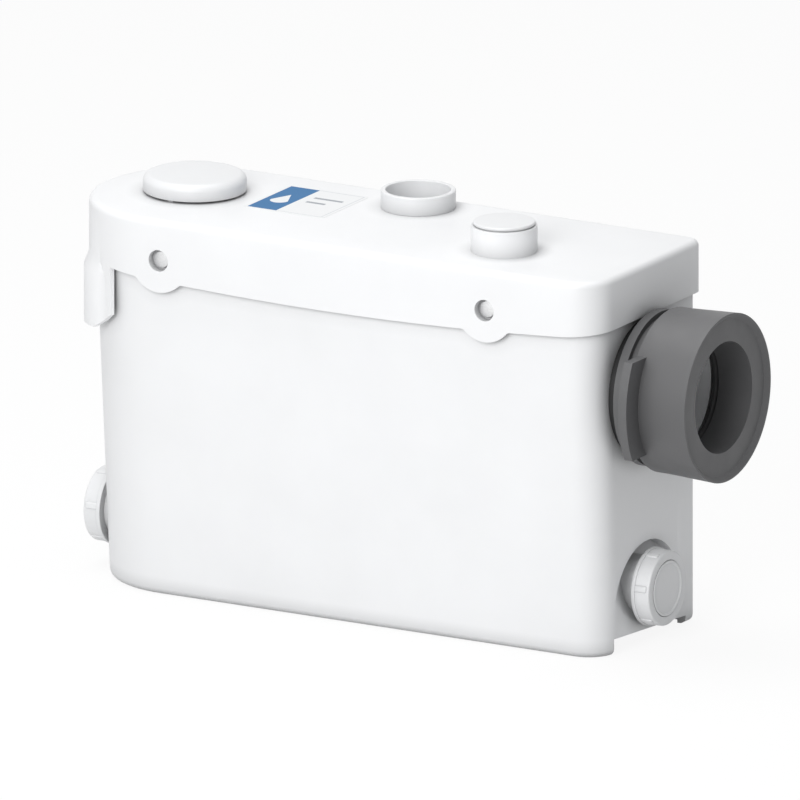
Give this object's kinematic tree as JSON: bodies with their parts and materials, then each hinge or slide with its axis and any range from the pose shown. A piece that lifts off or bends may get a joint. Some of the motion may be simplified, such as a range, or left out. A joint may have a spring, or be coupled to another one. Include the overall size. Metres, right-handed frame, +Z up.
{
  "type": "macerator toilet pump",
  "caption": "Slim white macerator pump unit for a toilet: lidded tank, grey pan sleeve, capped side inlets, top discharge socket, and a motor-driven cutter and pump inside.",
  "frame": {"origin": "centre of the overall footprint, on the floor", "axes": "+X towards the pan sleeve, +Y towards the back, +Z up"},
  "size_m": [0.5316, 0.16, 0.311],
  "materials": {
    "white_shell": "smooth moulded white plastic",
    "white_cap": "smooth moulded white plastic",
    "sleeve_grey": "satin grey plastic",
    "black_rubber": "matt black rubber",
    "steel": "brushed steel",
    "stack_steel": "stacked steel sheet",
    "grey_plastic": "satin grey plastic",
    "black_plastic": "satin black plastic",
    "board_green": "coated circuit board",
    "filter_carbon": "black filter felt"
  },
  "bodies": {
    "pump": {"tank": "white_shell", "lid": "white_shell", "discharge_socket": "white_cap", "capacitor": "white_cap", "lid_gasket": "black_rubber", "discharge_hose": "black_rubber", "wc_ring_seal": "black_rubber", "shaft_seal": "black_rubber", "lid_screws": "steel", "hose_clamps": "steel", "flap_pin": "steel", "motor_can": "steel", "upper_bearing": "steel", "lower_bearing": "steel", "tie_rods": "steel", "cutting_plate": "steel", "pump_screws": "steel", "control_screws": "steel", "stator": "stack_steel", "valve_housing": "grey_plastic", "motor_end_cap": "grey_plastic", "motor_bracket": "grey_plastic", "basket": "grey_plastic", "volute": "grey_plastic", "control_box": "grey_plastic", "control_cover": "grey_plastic", "pressure_switch": "grey_plastic", "dip_tube": "grey_plastic", "circuit_board": "board_green", "vent_filter": "filter_carbon", "cable_gland": "black_plastic", "gland_nut": "black_plastic"},
    "rotor": {"shaft": "steel", "rotor": "stack_steel", "cutter": "steel", "impeller": "grey_plastic", "impeller_nut": "steel"},
    "discharge_flap": {"valve_flap": "black_rubber"},
    "left_flap": {"left_inlet_flap": "black_rubber"},
    "right_flap": {"right_inlet_flap": "black_rubber"},
    "left_cap": {"left_blank_disc": "white_cap", "left_washer": "black_rubber"},
    "left_nut": {"left_union_nut": "white_cap"},
    "right_cap": {"right_blank_disc": "white_cap", "right_washer": "black_rubber"},
    "right_nut": {"right_union_nut": "white_cap"},
    "vent_cap": {"vent_cap": "white_cap"},
    "inlet_plug": {"inlet_plug": "white_cap", "plug_seal": "black_rubber"},
    "wc_sleeve": {"wc_sleeve": "sleeve_grey", "wc_lip_seal": "black_rubber"},
    "plunger": {"switch_plunger": "white_cap"}
  },
  "joints": [
    {"name": "rotor_spin", "type": "hinge", "parent": "pump", "child": "rotor", "pos_m": [0.0391, 0, 0.12], "axis": [0, 0, 1], "continuous": true},
    {"name": "discharge_flap_swing", "type": "hinge", "parent": "pump", "child": "discharge_flap", "pos_m": [-0.0239, 0.034, 0.0824], "axis": [1, 0, 0], "range_deg": [0, 55]},
    {"name": "left_flap_swing", "type": "hinge", "parent": "pump", "child": "left_flap", "pos_m": [-0.22655, 0.005, 0.067], "axis": [0, -1, 0], "range_deg": [0, 60]},
    {"name": "right_flap_swing", "type": "hinge", "parent": "pump", "child": "right_flap", "pos_m": [0.17125, 0.005, 0.067], "axis": [0, 1, 0], "range_deg": [0, 60]},
    {"name": "left_cap_slide", "type": "slide", "parent": "pump", "child": "left_cap", "axis": [-1, 0, 0], "range_m": [0, 0.012]},
    {"name": "left_nut_turn", "type": "hinge", "parent": "left_cap", "child": "left_nut", "pos_m": [-0.2581, 0.005, 0.0425], "axis": [-1, 0, 0], "range_deg": [0, 1080]},
    {"name": "right_cap_slide", "type": "slide", "parent": "pump", "child": "right_cap", "axis": [1, 0, 0], "range_m": [0, 0.012]},
    {"name": "right_nut_turn", "type": "hinge", "parent": "right_cap", "child": "right_nut", "pos_m": [0.2068, 0.005, 0.0425], "axis": [1, 0, 0], "range_deg": [0, 1080]},
    {"name": "vent_cap_lift", "type": "slide", "parent": "pump", "child": "vent_cap", "axis": [0, 0, 1], "range_m": [0, 0.02]},
    {"name": "inlet_plug_lift", "type": "slide", "parent": "pump", "child": "inlet_plug", "axis": [0, 0, 1], "range_m": [0, 0.025]},
    {"name": "wc_sleeve_turn", "type": "hinge", "parent": "pump", "child": "wc_sleeve", "pos_m": [0.2298, 0, 0.1948], "axis": [1, 0, 0], "range_deg": [0, 40]},
    {"name": "switch_plunger_slide", "type": "slide", "parent": "pump", "child": "plunger", "axis": [0, 0, 1], "range_m": [0, 0.0025], "stiffness_N_per_m": 200}
  ],
  "couplings": [
    {"joint": "left_nut_turn", "follows": "left_cap_slide", "rad_per_m": 1570.8},
    {"joint": "right_nut_turn", "follows": "right_cap_slide", "rad_per_m": 1570.8}
  ]
}
